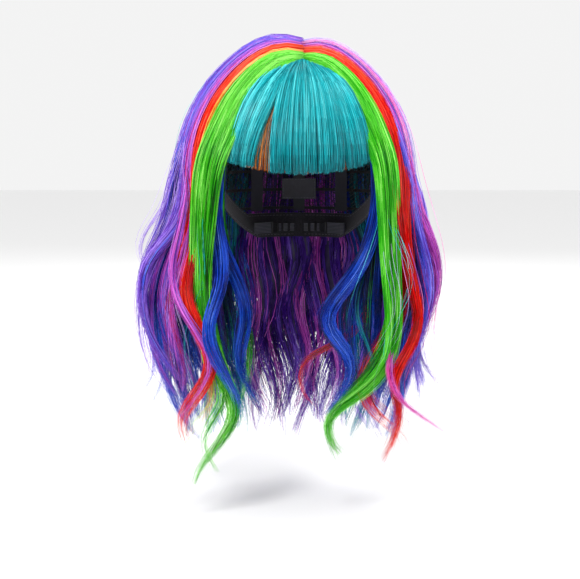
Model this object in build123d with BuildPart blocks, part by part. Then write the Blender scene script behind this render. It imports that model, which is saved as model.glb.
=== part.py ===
"""A costume wig: a stretch net cap with bands, ear tabs and nape adjusters, sewn weft tracks, and hair in colour groups.

The cap is a set of thin layers on an ellipsoid head. The hair is one mass round that head, divided in plan by lines that
fan out from the parting, and divided once more at ear level into crown hair, which stays put, and hanging hair, which swings.
The wearer looks along -Y, +X is the wearer's left and the origin is the middle of the head opening, at the top of the ears.
"""

import os
from math import cos, radians, sin

from build123d import *

os.makedirs("parts", exist_ok=True)

# The head that the cap is made for: a 56 cm head, as half sizes of an ellipsoid.
HEAD_HALF = (77.0, 97.0, 95.0)
HEAD_CENTRE = (0.0, 5.0, 28.0)
REACH = 150.0
FAR = 400.0

# Layers of the cap, as growth outward from the head's surface: (inner, outer).
LABEL_LAYER = (-1.8, -1.4)
BAND_LAYER = (-1.2, -0.2)
NET_LAYER = (0.0, 0.8)
PANEL_LAYER = (0.9, 1.7)
TRACK_LAYER = (0.9, 2.1)
HAIR_INNER = 2.4
FRINGE_UNDER_LAYER = (2.8, 6.4)
FRINGE_TOP_LAYER = (6.9, 14.0)

# Side-view outlines, as (y, z): the net, its bands and one ear tab.
TOP = 145.0
NET_OUTLINE = [
    (-120, 64), (-62, 52), (-44, 30), (-29, 14), (-6, 10), (28, 10),
    (46, -12), (61, -34), (120, -34), (120, TOP), (-120, TOP),
]
FRONT_BAND_OUTLINE = [
    (-120, 62), (-62, 50), (-44, 28), (-29, 12), (-29, 28), (-40, 48), (-60, 72), (-120, 84),
]
NAPE_BAND_OUTLINE = [
    (-6, 8), (28, 8), (44, -14), (60, -36), (120, -36),
    (120, -16), (68, -16), (54, 2), (36, 22), (-6, 22),
]
EAR_TAB_OUTLINE = [(-28, 10), (-28, -6), (-24, -13), (-16, -15), (-9, -12), (-7, -4), (-7, 10)]
RIBBON_OUTLINE = [(-120, 90), (-10, 60), (20, 0), (60, -14), (120, -14), (120, TOP), (-120, TOP)]

# Weft tracks: the height of each and how far forward it runs, and the strip's width.
TRACK_ROWS = [
    (-28, 61), (-13, 52), (3, 36), (19, -22), (35, -38), (51, -48), (67, -54), (84, -55), (100, -42),
]
TRACK_WIDTH = 2.4
FRINGE_TRACK = ((-22, 46), (-60.0, -57.6))

# The parting runs front to back at this x. Each boundary between colours starts on it and passes over an ear-level point.
PARTING_X = 2.0
PARTING_Y = [-50, -44, -32, -18, -5, 13, 25, 37]
RIGHT_POINTS = [(-60, -81), (-81, -66), (-90, -50), (-97, -31), (-101, 10), (-70, 82), (-38, 110), (3, 124)]
LEFT_POINTS = [(60, -81), (79, -68), (89, -52), (98, -24), (101, 14), (70, 82), (40, 110), (3, 124)]
PARTING_PANEL = ((-8, 12), (-52, 48))

# The colours from the fringe to the middle of the back, and how low each group's tip and shoulders hang.
COLOURS = ["green", "red", "magenta", "violet", "blue", "teal", "purple"]
RIGHT_TIPS = [-232, -205, -188, -196, -205, -212, -215]
LEFT_TIPS = [-212, -222, -200, -196, -205, -212, -215]
SHOULDER_RISE = 55.0

# The crown hair's outer surface, and the hanging hair's outer and inner sections as (z, half width, half depth, centre y).
CROWN_HALF = (102.0, 119.0, 116.0)
CROWN_CENTRE = (0.0, 6.0, 20.0)
EAR_LEVEL = 0.0
OUTER_SECTIONS = [(0, 94, 111, 6), (-42, 117, 122, 8), (-100, 126, 122, 12), (-170, 112, 112, 18), (-236, 88, 94, 22)]
INNER_SECTIONS = [(0, 77, 97, 5), (-42, 87, 97, 6), (-100, 97, 97, 12), (-170, 90, 90, 18), (-236, 70, 76, 22)]
COLOUR_GAP = 0.3
BODY_GAP = 1.0
FACE_HALF_WIDTH = 56.0
FRINGE_BOTTOM = 26.0

# The lock of hair inside each green one, beside the cheek: (z, half width, half depth, centre x, centre y), mirrored for the other side.
CHEEK_LOCK_SECTIONS = [(-8, 3, 6, 52, -71), (-50, 9, 8, 46, -66), (-105, 10, 8, 40, -62), (-168, 4, 4, 42, -60)]

# Nape adjusters: straps that slide round a vertical axis, each with a hook on its end and loops for it on the band.
STRAP_AXIS_Y = 29.0
STRAP_RADIUS = 46.8
STRAP_THICKNESS = 1.2
STRAP_ARC = (32.0, 56.0)
STRAP_Z = (-33.0, -23.0)
HOOK_PIVOT_ANGLE = 30.0
HOOK_BARREL_RADIUS = 1.2
HOOK_PLATE = (6.0, 1.0, 8.0)
HOOK_LIP = (1.0, 1.9, 8.0)
LOOP_RADII = (48.4, 49.2)
LOOP_ANGLES = [5, 12, 19]
LOOP_WIDTH_ANGLE = 4.0
LOOP_Z = (-31.5, -24.5)
CARE_LABEL = ((-15, 15), (-4, 14))


def save(piece, name):
    """Labels a finished piece and writes its STEP file."""
    piece.part.label = name
    export_step(piece.part, f"parts/{name}.step")


def ellipsoid(half, centre):
    """A solid ellipsoid with these half sizes."""
    with BuildPart() as solid:
        Sphere(1)
        scale(by=tuple(float(size) for size in half))
    return solid.part.moved(Location(centre))


def head(growth):
    """The head, grown outward by a layer's thickness."""
    return ellipsoid([size + growth for size in HEAD_HALF], HEAD_CENTRE)


def block(x, y, z):
    """A plain box from its (low, high) limits."""
    with BuildPart(Location(((x[0] + x[1]) / 2, (y[0] + y[1]) / 2, (z[0] + z[1]) / 2))) as box:
        Box(x[1] - x[0], y[1] - y[0], z[1] - z[0])
    return box.part


def cap_layer(layer, outline, limits=None):
    """A layer of the cap, trimmed to a side-view outline and, if given, to a box."""
    with BuildPart() as piece:
        add(head(layer[1]))
        add(head(layer[0]), mode=Mode.SUBTRACT)
        with BuildSketch(Plane.YZ):
            with BuildLine():
                Polyline(*outline, close=True)
            make_face()
        extrude(amount=REACH, both=True, mode=Mode.INTERSECT)
        if limits is not None:
            add(limits, mode=Mode.INTERSECT)
    return piece


def tapered_column(sections):
    """A smooth vertical solid through elliptical sections."""
    with BuildPart() as column:
        for z, half_width, half_depth, centre_y in sections:
            with BuildSketch(Plane.XY.offset(z)):
                with Locations((0, centre_y)):
                    Ellipse(half_width, half_depth)
        loft()
    return column.part


def crown_mass():
    """All the hair above ear level."""
    with BuildPart() as mass:
        add(ellipsoid(CROWN_HALF, CROWN_CENTRE))
        add(head(HAIR_INNER), mode=Mode.SUBTRACT)
        add(block((-REACH, REACH), (-REACH, REACH), (EAR_LEVEL + BODY_GAP / 2, TOP)), mode=Mode.INTERSECT)
    return mass.part


def hanging_mass():
    """All the hair below ear level."""
    with BuildPart() as mass:
        add(tapered_column(OUTER_SECTIONS))
        add(tapered_column(INNER_SECTIONS), mode=Mode.SUBTRACT)
        add(block((-REACH, REACH), (-REACH, REACH), (-FAR, EAR_LEVEL - BODY_GAP / 2)), mode=Mode.INTERSECT)
        add(block((-FACE_HALF_WIDTH, FACE_HALF_WIDTH), (-REACH, 0), (-FAR, 0)), mode=Mode.SUBTRACT)
    return mass.part


def far_point(index, points):
    """A point far out along a boundary between two colours."""
    start = Vector(PARTING_X, PARTING_Y[index])
    through = Vector(*points[index])
    return start + (through - start).normalized() * FAR


def colour_prism(index, points, gap):
    """The tall prism over one colour's share of the plan, with half a gap taken off each side."""
    with BuildPart() as prism:
        with BuildSketch(Plane.XY.offset(-FAR)):
            with BuildLine():
                Polyline(
                    (PARTING_X, PARTING_Y[index]),
                    (PARTING_X, PARTING_Y[index + 1]),
                    far_point(index + 1, points),
                    far_point(index, points),
                    close=True,
                )
            make_face()
            offset(amount=-gap / 2, kind=Kind.INTERSECTION)
        extrude(amount=2 * FAR)
    return prism.part


def pointed_end(index, points, tip):
    """A radial prism whose lower end narrows to a point, to trim the bottom of one colour's hanging hair."""
    middle = (Vector(*points[index]) + Vector(*points[index + 1])) / 2
    half_width = (Vector(*points[index]) - Vector(*points[index + 1])).length * 0.75
    outward = Vector(middle.X, middle.Y - HEAD_CENTRE[1]).normalized()
    facing = Plane(origin=(0, HEAD_CENTRE[1], 0), x_dir=(-outward.Y, outward.X, 0), z_dir=outward)
    offset_x = Vector(middle.X, middle.Y - HEAD_CENTRE[1]).dot(facing.x_dir)
    # The plane's own Y points up or down with the side, so the outline is mirrored to hang down.
    down = -1 if facing.y_dir.Z > 0 else 1
    with BuildPart() as trim:
        with BuildSketch(facing):
            with BuildLine():
                Polyline(
                    (offset_x - half_width, -down * 2),
                    (offset_x - half_width, -down * (tip + SHOULDER_RISE)),
                    (offset_x - half_width * 0.12, -down * tip),
                    (offset_x + half_width * 0.12, -down * tip),
                    (offset_x + half_width, -down * (tip + SHOULDER_RISE)),
                    (offset_x + half_width, -down * 2),
                    close=True,
                )
            make_face()
        extrude(amount=FAR)
    return trim.part


def make_cap():
    """The net, its bands, ribbons, parting panel, tracks, label and the loops for the adjusters."""
    save(cap_layer(NET_LAYER, NET_OUTLINE), "crown_net")
    save(cap_layer(BAND_LAYER, FRONT_BAND_OUTLINE), "front_band")
    save(cap_layer(BAND_LAYER, NAPE_BAND_OUTLINE), "nape_band")
    for name, x in (("centre", 0), ("right", -37), ("left", 37)):
        strip = block((x - 5, x + 5), (-REACH, REACH), (-REACH, REACH))
        save(cap_layer(BAND_LAYER, RIBBON_OUTLINE, strip), f"ribbon_{name}")
    whole = [(-120, 0), (120, 0), (120, TOP), (-120, TOP)]
    save(cap_layer(PANEL_LAYER, whole, block(*PARTING_PANEL, (0, TOP))), "parting_panel")
    save(cap_layer(TRACK_LAYER, whole, block(*FRINGE_TRACK, (0, TOP))), "fringe_track")
    for number, (height, front) in enumerate(TRACK_ROWS, 1):
        strip = [(front, height), (120, height), (120, height + TRACK_WIDTH), (front, height + TRACK_WIDTH)]
        save(cap_layer(TRACK_LAYER, strip), f"weft_track_{number}")
    behind = [(40, -40), (120, -40), (120, 40), (40, 40)]
    save(cap_layer(LABEL_LAYER, behind, block(CARE_LABEL[0], (0, REACH), CARE_LABEL[1])), "care_label")


def make_ear_tabs():
    """The two tabs that lie in front of the ears."""
    for side, x in (("right", (-REACH, 0)), ("left", (0, REACH))):
        half = block(x, (-REACH, REACH), (-REACH, REACH))
        save(cap_layer(BAND_LAYER, EAR_TAB_OUTLINE, half), f"ear_tab_{side}")


def arc_strip(radii, angles, heights, sign):
    """A curved strip about the adjusters' axis, between two angles from the middle of the back."""
    with BuildPart() as strip:
        with BuildSketch(Plane.XY.offset(heights[0])):
            with Locations((0, STRAP_AXIS_Y)):
                Circle(radii[1])
                Circle(radii[0], mode=Mode.SUBTRACT)
            with BuildLine():
                Polyline(
                    (0, STRAP_AXIS_Y),
                    *[(sign * REACH * sin(radians(a)), STRAP_AXIS_Y + REACH * cos(radians(a))) for a in angles],
                    close=True,
                )
            make_face(mode=Mode.INTERSECT)
        extrude(amount=heights[1] - heights[0])
    return strip


def make_adjusters():
    """The strap, its hook and the row of loops, on each side of the nape."""
    half_thickness = STRAP_THICKNESS / 2
    middle_z = sum(STRAP_Z) / 2
    for side, sign in (("right", -1), ("left", 1)):
        radii = (STRAP_RADIUS - half_thickness, STRAP_RADIUS + half_thickness)
        save(arc_strip(radii, STRAP_ARC, STRAP_Z, sign), f"adjuster_strap_{side}")

        angle = radians(HOOK_PIVOT_ANGLE)
        pivot = (sign * STRAP_RADIUS * sin(angle), STRAP_AXIS_Y + STRAP_RADIUS * cos(angle), middle_z)
        # The hook's own plane: X runs towards the middle of the back, Y points out from the head.
        toward_middle = (-sign * cos(angle), sin(angle), 0)
        with BuildPart(Plane(origin=pivot, x_dir=toward_middle, z_dir=(0, 0, 1))) as hook:
            Cylinder(HOOK_BARREL_RADIUS, STRAP_Z[1] - STRAP_Z[0])
            with Locations((HOOK_PLATE[0] / 2, 0)):
                Box(*HOOK_PLATE)
            with Locations((HOOK_PLATE[0] - HOOK_LIP[0] / 2, 0)):
                Box(*HOOK_LIP)
        save(hook, f"adjuster_hook_{side}")

        with BuildPart() as loops:
            for start in LOOP_ANGLES:
                add(arc_strip(LOOP_RADII, (start, start + LOOP_WIDTH_ANGLE), LOOP_Z, sign).part)
        save(loops, f"adjuster_loops_{side}")


def make_fringe():
    """The fringe: a turquoise top layer over an orange under layer, both between the first boundaries."""
    for name, layer in (("fringe_hair", FRINGE_TOP_LAYER), ("fringe_under_hair", FRINGE_UNDER_LAYER)):
        with BuildPart() as fringe:
            add(head(layer[1]))
            add(head(layer[0]), mode=Mode.SUBTRACT)
            with BuildSketch(Plane.XY.offset(FRINGE_BOTTOM)):
                with BuildLine():
                    Polyline(
                        (PARTING_X, PARTING_Y[0]),
                        far_point(0, RIGHT_POINTS),
                        far_point(0, LEFT_POINTS),
                        close=True,
                    )
                make_face()
                offset(amount=-BODY_GAP, kind=Kind.INTERSECTION)
            extrude(amount=FAR, mode=Mode.INTERSECT)
        save(fringe, name)


def make_hair():
    """Each colour's crown hair and hanging hair, on both sides of the parting."""
    crown = crown_mass()
    hanging = hanging_mass()
    for side, points, tips in (("right", RIGHT_POINTS, RIGHT_TIPS), ("left", LEFT_POINTS, LEFT_TIPS)):
        for index, colour in enumerate(COLOURS):
            with BuildPart() as crown_hair:
                add(crown)
                add(colour_prism(index, points, COLOUR_GAP), mode=Mode.INTERSECT)
            save(crown_hair, f"{colour}_crown_{side}")

            with BuildPart() as lock:
                add(hanging)
                add(colour_prism(index, points, BODY_GAP), mode=Mode.INTERSECT)
                add(pointed_end(index, points, tips[index]), mode=Mode.INTERSECT)
            save(lock, f"{colour}_lock_{side}")


def make_cheek_locks():
    """The lock of blue hair that hangs inside the green one, beside each cheek."""
    for side, sign in (("right", -1), ("left", 1)):
        with BuildPart() as lock:
            for z, half_width, half_depth, x, y in CHEEK_LOCK_SECTIONS:
                with BuildSketch(Plane.XY.offset(z)):
                    with Locations((sign * x, y)):
                        Ellipse(half_width, half_depth)
            loft()
        save(lock, f"cheek_lock_{side}")


make_cap()
make_ear_tabs()
make_adjusters()
make_fringe()
make_hair()
make_cheek_locks()
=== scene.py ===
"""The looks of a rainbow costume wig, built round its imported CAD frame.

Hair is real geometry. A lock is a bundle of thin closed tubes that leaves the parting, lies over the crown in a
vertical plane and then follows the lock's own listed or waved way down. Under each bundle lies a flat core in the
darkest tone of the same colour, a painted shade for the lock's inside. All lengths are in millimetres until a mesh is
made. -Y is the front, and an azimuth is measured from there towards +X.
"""

from functools import cache, partial
from math import cos, pi, radians, sin

import bpy
import numpy as np
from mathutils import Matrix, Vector


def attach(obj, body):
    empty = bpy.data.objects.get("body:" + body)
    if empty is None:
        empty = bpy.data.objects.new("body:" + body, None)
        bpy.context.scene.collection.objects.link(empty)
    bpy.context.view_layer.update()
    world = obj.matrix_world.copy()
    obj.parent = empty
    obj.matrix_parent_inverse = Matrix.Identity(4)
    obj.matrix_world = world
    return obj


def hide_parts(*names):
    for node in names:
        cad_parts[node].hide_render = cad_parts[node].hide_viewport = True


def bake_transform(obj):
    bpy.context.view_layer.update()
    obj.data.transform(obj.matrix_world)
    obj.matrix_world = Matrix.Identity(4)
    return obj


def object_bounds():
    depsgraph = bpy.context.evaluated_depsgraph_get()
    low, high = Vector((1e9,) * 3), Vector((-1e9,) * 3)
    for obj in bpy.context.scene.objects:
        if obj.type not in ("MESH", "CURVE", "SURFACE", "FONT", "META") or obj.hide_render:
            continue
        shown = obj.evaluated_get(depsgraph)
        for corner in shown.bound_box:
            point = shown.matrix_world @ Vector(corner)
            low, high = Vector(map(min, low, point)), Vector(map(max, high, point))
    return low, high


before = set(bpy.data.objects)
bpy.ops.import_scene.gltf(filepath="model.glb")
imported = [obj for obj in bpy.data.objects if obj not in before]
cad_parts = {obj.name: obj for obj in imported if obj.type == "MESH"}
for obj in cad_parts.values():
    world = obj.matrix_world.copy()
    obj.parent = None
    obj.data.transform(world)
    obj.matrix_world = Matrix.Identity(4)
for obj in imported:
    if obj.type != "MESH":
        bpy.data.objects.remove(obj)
cad_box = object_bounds()

MM = 0.001
SIDES = {"right": -1, "left": 1}  # the wearer's sides: right is at -X

# The head inside the cap and the crown hair's outer surface: half sizes and centres of two ellipsoids.
HEAD_HALF, HEAD_CENTRE = np.array([77.0, 97.0, 95.0]), np.array([0.0, 5.0, 28.0])
CROWN_HALF, CROWN_CENTRE = np.array([102.0, 119.0, 116.0]), np.array([0.0, 6.0, 20.0])
PARTING_X = 2.0

# The hanging hair's outer surface: height, half width, half depth and centre, from the crown's equator down.
HANG = np.array([[20, 102, 119, 6], [0, 106, 120, 7], [-42, 119, 122, 8], [-100, 126, 123, 12], [-170, 112, 112, 18],
                 [-235, 88, 94, 22]], float)
HANG_DEPTH = 26.0  # from the hanging hair's outer surface to its inner one

# The wearer's left side hangs closer: depth below the equator, and the share of the half width left there.
CLOSER_LEFT = ([0, 50, 90, 130], [0.93, 0.96, 0.88, 0.82])

# Over the crown the sides lie closer, by this share to each side, from this azimuth on, and over this much more of it.
CLOSER_CROWN, CLOSER_FROM, CLOSER_OVER = {"right": 0.1, "left": 0.22}, 0.85, 0.4
ROOT_SHARE, ROOT_LENGTH = 0.6, 0.16  # the hair's share of its thickness at the parting, and how soon it is full
FULLER, FULLER_AT, FULLER_OVER = 0.12, 0.2, 0.18  # how much, where and over how much of the way the crown is fuller
OUT_CENTRE = np.array([0.0, 8.0, 20.0])  # hair faces away from this point, and lower down from the line below it

rng = np.random.default_rng(11)


# ---------------------------- materials
def linear(hex_colour):
    """An sRGB hex colour as linear RGBA."""
    parts = [int(hex_colour[i : i + 2], 16) / 255 for i in (0, 2, 4)]
    return [c / 12.92 if c <= 0.04045 else ((c + 0.055) / 1.055) ** 2.4 for c in parts] + [1.0]


def new_material(name):
    """A material with nodes: itself, its shader, a function that adds a node, and the one that links two sockets."""
    material = bpy.data.materials.new(name)
    material.use_nodes = True
    tree = material.node_tree

    def add(kind, inputs=(), **settings):
        node = tree.nodes.new("ShaderNode" + kind)
        for key, value in settings.items():
            setattr(node, key, value)
        for key, value in dict(inputs).items():
            node.inputs[key].default_value = value
        return node

    return material, tree.nodes["Principled BSDF"], add, tree.links.new


# Each hair colour from its deepest tone to its lightest. The tones serve random streaks between fibres and also painted
# light and shade.
TONES = {
    "turquoise": "05424C 0E727C 1E9CA6 38BEC6 74EAEE",
    "orange": "5E280A 8E4416 BA6426 DC8E4C F4B878",
    "green": "0A3408 1A7212 36A624 62D040 A6F67C",
    "red": "6A0C0E A81812 D82C1C F04630 FC7C66",
    "ember": "8A3410 B85A20 DC8838 EEA858 F8C884",
    "magenta": "5E1A68 923498 BE54BE DA70DA EE9CEE",
    "pink": "8E1E58 BE3884 E058AA F07CC6 F8A8E0",
    "violet": "2C1658 50309A 744EC0 9470DE BC9AF6",
    "periwinkle": "262A78 4044B0 5E62D8 7E82F0 A6AAFA",
    "blue": "0A1440 14287C 2244B4 3C66DE 7498F6",
    "navy": "060C2A 0C184A 162A76 2444A4 4066D2",
    "teal": "04303A 08525E 0E7482 1C96A4 48BEC8",
    "purple": "1C0840 34166C 4E2C94 6C46BA 9470E0",
    "lavender": "8A6CC8 A488DC BCA2EC D0BAF4 E4D4FC",
    "lime": "3E9A20 5CB830 7CD448 9CE868 BEF890",
}
STEPS = 7  # tones made from each colour's five
SATURATION = 1.05  # how much further each tone is from grey


@cache
def hair_material(colour, tone):
    """One tone of one hair colour: glossy synthetic fibre, duller in places along its length."""
    tones = TONES[colour].split()
    place = tone * (len(tones) - 1) / (STEPS - 1)
    low = min(int(place), len(tones) - 2)
    shade = mix([np.array(linear(tones[i])) for i in (low, low + 1)], place - low)[:3]
    shade = np.clip(shade.max() - (shade.max() - shade) * SATURATION, 0, 1)
    material, shader, add, link = new_material(f"hair_{colour}_{tone}")
    shader.inputs["Base Color"].default_value = (*shade.tolist(), 1.0)
    shader.inputs["Roughness"].default_value = 0.42
    where = add("TexCoord")
    noise = add("TexNoise", {"Scale": 60.0, "Detail": 3.0})
    gloss = add("MapRange", {"From Min": 0.35, "From Max": 0.65, "To Min": 0.15, "To Max": 0.5})
    link(where.outputs["Object"], noise.inputs["Vector"])
    link(noise.outputs["Fac"], gloss.inputs["Value"])
    link(gloss.outputs["Result"], shader.inputs["Specular IOR Level"])
    return material


# ---------------------------- strand geometry
def spline_weights(controls, samples):
    """Weights of a uniform cubic B-spline that starts and ends on its end controls: a (samples, controls) matrix."""
    t = np.asarray(samples) * (controls + 1)
    first = np.minimum(t.astype(int), controls)
    f = t - first
    basis = [(1 - f) ** 3 / 6, (3 * f**3 - 6 * f**2 + 4) / 6, (-3 * f**3 + 3 * f**2 + 3 * f + 1) / 6, f**3 / 6]
    weights = np.zeros((len(t), controls))
    for step, b in enumerate(basis):
        np.add.at(weights, (np.arange(len(t)), np.clip(first + step - 2, 0, controls - 1)), b)
    return weights


def smooth(x):
    """A soft step from 0 to 1."""
    x = np.clip(x, 0, 1)
    return x * x * (3 - 2 * x)


def mix(ends, f):
    """What lies at the share f of the way from the first end to the second."""
    return ends[0] + (ends[1] - ends[0]) * f


def unit(v):
    """Vectors of the same directions with a length of 1."""
    return v / np.maximum(np.linalg.norm(v, axis=-1, keepdims=True), 1e-9)


def over_head(root_x, root_y, azimuth, end_half, end_centre, half, centre, u):
    """Lines in vertical planes from their roots to the azimuth on the last ellipsoid, each point on one of its own."""
    end_x = end_centre[..., 0] + end_half[..., 0] * np.sin(azimuth)
    end_y = end_centre[..., 1] - end_half[..., 1] * np.cos(azimuth)
    along = np.sin(u * pi / 2)[None]
    x, y = mix((root_x[:, None], end_x), along), mix((root_y[:, None], end_y), along)
    inside = 1 - ((x - centre[..., 0]) / half[..., 0]) ** 2 - ((y - centre[..., 1]) / half[..., 1]) ** 2
    return np.stack([x, y, centre[..., 2] + half[..., 2] * np.sqrt(np.maximum(inside, 0))], -1)


def crown_points(root_x, root_y, azimuth, layer, u):
    """Points over the crown, from the parting (u 0) to the equator (u 1). All but u are one value per strand."""
    closer = np.where(azimuth < 0, CLOSER_CROWN["right"], CLOSER_CROWN["left"])
    closer = closer * smooth((np.abs(azimuth) - CLOSER_FROM) / CLOSER_OVER)
    fuller = FULLER * np.exp(-(((u - FULLER_AT) / FULLER_OVER) ** 2))[None]
    fuller = fuller - closer[:, None] * smooth((u - 0.06) / 0.4)[None]
    k = layer[:, None] * (ROOT_SHARE + (1 - ROOT_SHARE) * smooth(u / ROOT_LENGTH)[None] + fuller)
    layer = layer * (1 - closer)
    ellipsoids = [mix(ends, at[..., None]) for at in (layer[:, None], k)
                  for ends in ((HEAD_HALF, CROWN_HALF), (HEAD_CENTRE, CROWN_CENTRE))]
    return over_head(root_x, root_y, azimuth[:, None], *ellipsoids, u)


def hang_point(azimuth, layer, z):
    """A point of the hanging hair at this height: layer 1 is its outer surface and 0 the head or neck side."""
    half_x, half_y, centre = [np.interp(-z, -HANG[:, 0], HANG[:, c]) for c in (1, 2, 3)]
    inset = (1 - layer) * HANG_DEPTH
    if azimuth > 0:
        half_x = half_x * np.interp(-z, *CLOSER_LEFT)
    return np.array([(half_x - inset) * sin(azimuth), centre - (half_y - inset) * cos(azimuth), z])


def directions(points, centre=OUT_CENTRE, lowest=0.0):
    """The unit tangents of lines of points, and the unit vectors across the lines that face away from the centre."""
    tangent = unit(np.gradient(points, axis=-2))
    out = points - centre
    out[..., 2] = np.maximum(out[..., 2], lowest)
    return tangent, unit(out - (out * tangent).sum(-1, keepdims=True) * tangent)


pieces = {}  # each piece's bundles of tubes, until they become its mesh


def add_bundle(piece, points, half_sizes, outward, across, material_of, tones, sides=3):
    """Adds closed tubes to a piece. points is (tubes, samples, 3), and half_sizes are those across and outward."""
    pieces.setdefault(piece, []).append((points, half_sizes, outward, across, material_of, tones, sides))


def add_tubes(piece, points, radius, material_of, tones, **facing):
    """Adds round tubes to a piece."""
    tangent, outward = directions(points, **facing)
    add_bundle(piece, points, (radius, radius), outward, np.cross(tangent, outward), material_of, tones)


def piece_mesh(name):
    """Makes one mesh out of everything added to a piece."""
    coords, quads, ends, quad_slots, end_slots, slots, base = [], [], [], [], [], [], 0
    for points, half_sizes, outward, across, material_of, tones, sides in pieces[name]:
        count, samples = points.shape[:2]
        angle = 2 * pi * np.arange(sides) / sides + pi / 2
        a = (half_sizes[0][..., None] * np.cos(angle))[..., None]
        b = (half_sizes[1][..., None] * np.sin(angle))[..., None]
        coords.append((points[:, :, None] + across[:, :, None] * a + outward[:, :, None] * b).reshape(-1, 3))
        index = base + np.arange(count * samples * sides).reshape(count, samples, sides)
        turn = np.roll(index, -1, axis=2)
        quads.append(np.stack([index[:, :-1], turn[:, :-1], turn[:, 1:], index[:, 1:]], -1).reshape(-1, 4))
        ends.append(np.concatenate([index[:, 0, ::-1], index[:, -1]]))
        tones = np.broadcast_to(tones, (count, samples - 1))
        slot = np.zeros_like(tones)
        for tone in np.unique(tones).tolist():
            material = material_of(tone)
            if material not in slots:
                slots.append(material)
            slot[tones == tone] = slots.index(material)
        quad_slots.append(np.repeat(slot.ravel(), sides))
        end_slots.append(np.concatenate([slot[:, 0], slot[:, -1]]))
        base += count * samples * sides
    coords = np.concatenate(coords) * MM
    loops = np.concatenate([faces.ravel() for faces in quads + ends])
    sizes = np.concatenate([np.full(len(faces), faces.shape[1]) for faces in quads + ends])
    mesh = bpy.data.meshes.new(name)
    mesh.vertices.add(len(coords))
    mesh.vertices.foreach_set("co", coords.ravel().astype(np.float32))
    mesh.loops.add(len(loops))
    mesh.loops.foreach_set("vertex_index", loops.astype(np.int32))
    mesh.polygons.add(len(sizes))
    mesh.polygons.foreach_set("loop_start", np.concatenate([[0], np.cumsum(sizes)[:-1]]).astype(np.int32))
    mesh.polygons.foreach_set("material_index", np.concatenate(quad_slots + end_slots).astype(np.int32))
    mesh.polygons.foreach_set("use_smooth", np.ones(len(sizes), bool))
    for material in slots:
        mesh.materials.append(material)
    mesh.update(calc_edges=True)
    obj = bpy.data.objects.new(name, mesh)
    bpy.context.scene.collection.objects.link(obj)
    return obj


CROWN_SPARSER = 0.8  # how much a length over the crown counts for


def even_samples(controls, samples, crown_controls):
    """Spline parameters spaced evenly along a lock, but sparser over the crown, where hair is nearly straight."""
    fine = np.linspace(0, 1, 400)
    line = spline_weights(len(controls), fine) @ controls
    step = np.linalg.norm(np.diff(line, axis=0), axis=1)
    step *= np.where(fine[1:] * (len(controls) + 1) < crown_controls, CROWN_SPARSER, 1.0)
    length = np.concatenate([[0], np.cumsum(step)])
    return np.interp(np.linspace(0, length[-1], samples), length, fine)


CROWN_U = [0.0, 0.05, 0.11, 0.2, 0.32, 0.46, 0.6, 0.75, 0.89, 1.0]  # where a lock's controls lie over the crown
LEAVES_CROWN = 12.0  # a lock's crown controls end this far above the start of its way
JOIN = 3.2  # over this many controls below it, a lock's width turns from its crown section's to its own
ROOT_ASIDE = 0.4  # from the parting to a side's roots
FIBRES_PER_TUFT = 14
WANDER = ((1.3, 0.8), (2.9, 0.55))  # waves along a fibre that wanders, and how far each goes
STRAYS, STRAYS_GO = 0.08, 3.2  # the share of fibres that stray, and how much further they wander
MIDDLE_TONE = 3.1
PAINTED_HIGHLIGHT_WAVE = 62.0  # the height from one band of painted highlight to the next

# Painted light and shade: how many tones lighter the hair is at each height, for the ends, the lower waves, the sides
# and then the crown, painted lighter as if lit from above, where a lock's own factor scales the painted highlight
# that the last column adds.
LIGHT = np.array([[-215, 2.2, 0], [-175, 1.5, 0], [-130, 0.6, 0], [-60, 0.4, 0], [-10, 0.4, 0], [40, 0.8, 0],
                  [90, 0.8, 0.7], [125, 0.8, 1.3]])


def shades(points, s, group, groups, inner_dark, gloss):
    """Steps lighter or darker for every length of every fibre: random streaks, waves of painted highlight and shade,
    painted light and shade by height, and painted shade on the front edge.
    """
    streak = rng.normal(0, 0.75, groups)[group][:, None] + rng.normal(0, 0.7, len(s))[:, None]
    height = (points[:, 1:, 2] + points[:, :-1, 2]) / 2
    light = np.interp(height, LIGHT[:, 0], LIGHT[:, 1] + LIGHT[:, 2] * gloss)
    phase = rng.uniform(0, 2 * pi, groups)[group][:, None] + rng.normal(0, 0.5, len(s))[:, None]
    # Bands of painted highlight and shade along the fibres.
    wave = 1.05 * np.sin(2 * pi * height / PAINTED_HIGHLIGHT_WAVE + phase)
    # Painted shade on the lock's front edge below the crown, painted lighter where inner_dark is below zero.
    front = np.maximum(-s, 0)[:, None] * inner_dark * smooth((60 - height) / 60)
    calm = 1 - 0.4 * smooth((height - 20) / 70)
    return (streak + wave) * calm + light - front


def between(lines, places):
    """Points between those of lines, at fractional places along each."""
    low = np.minimum(places.astype(int), lines.shape[1] - 2)
    f = (places - low)[..., None]
    rows = np.arange(len(lines))[:, None]
    return lines[rows, low] * (1 - f) + lines[rows, low + 1] * f


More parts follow.
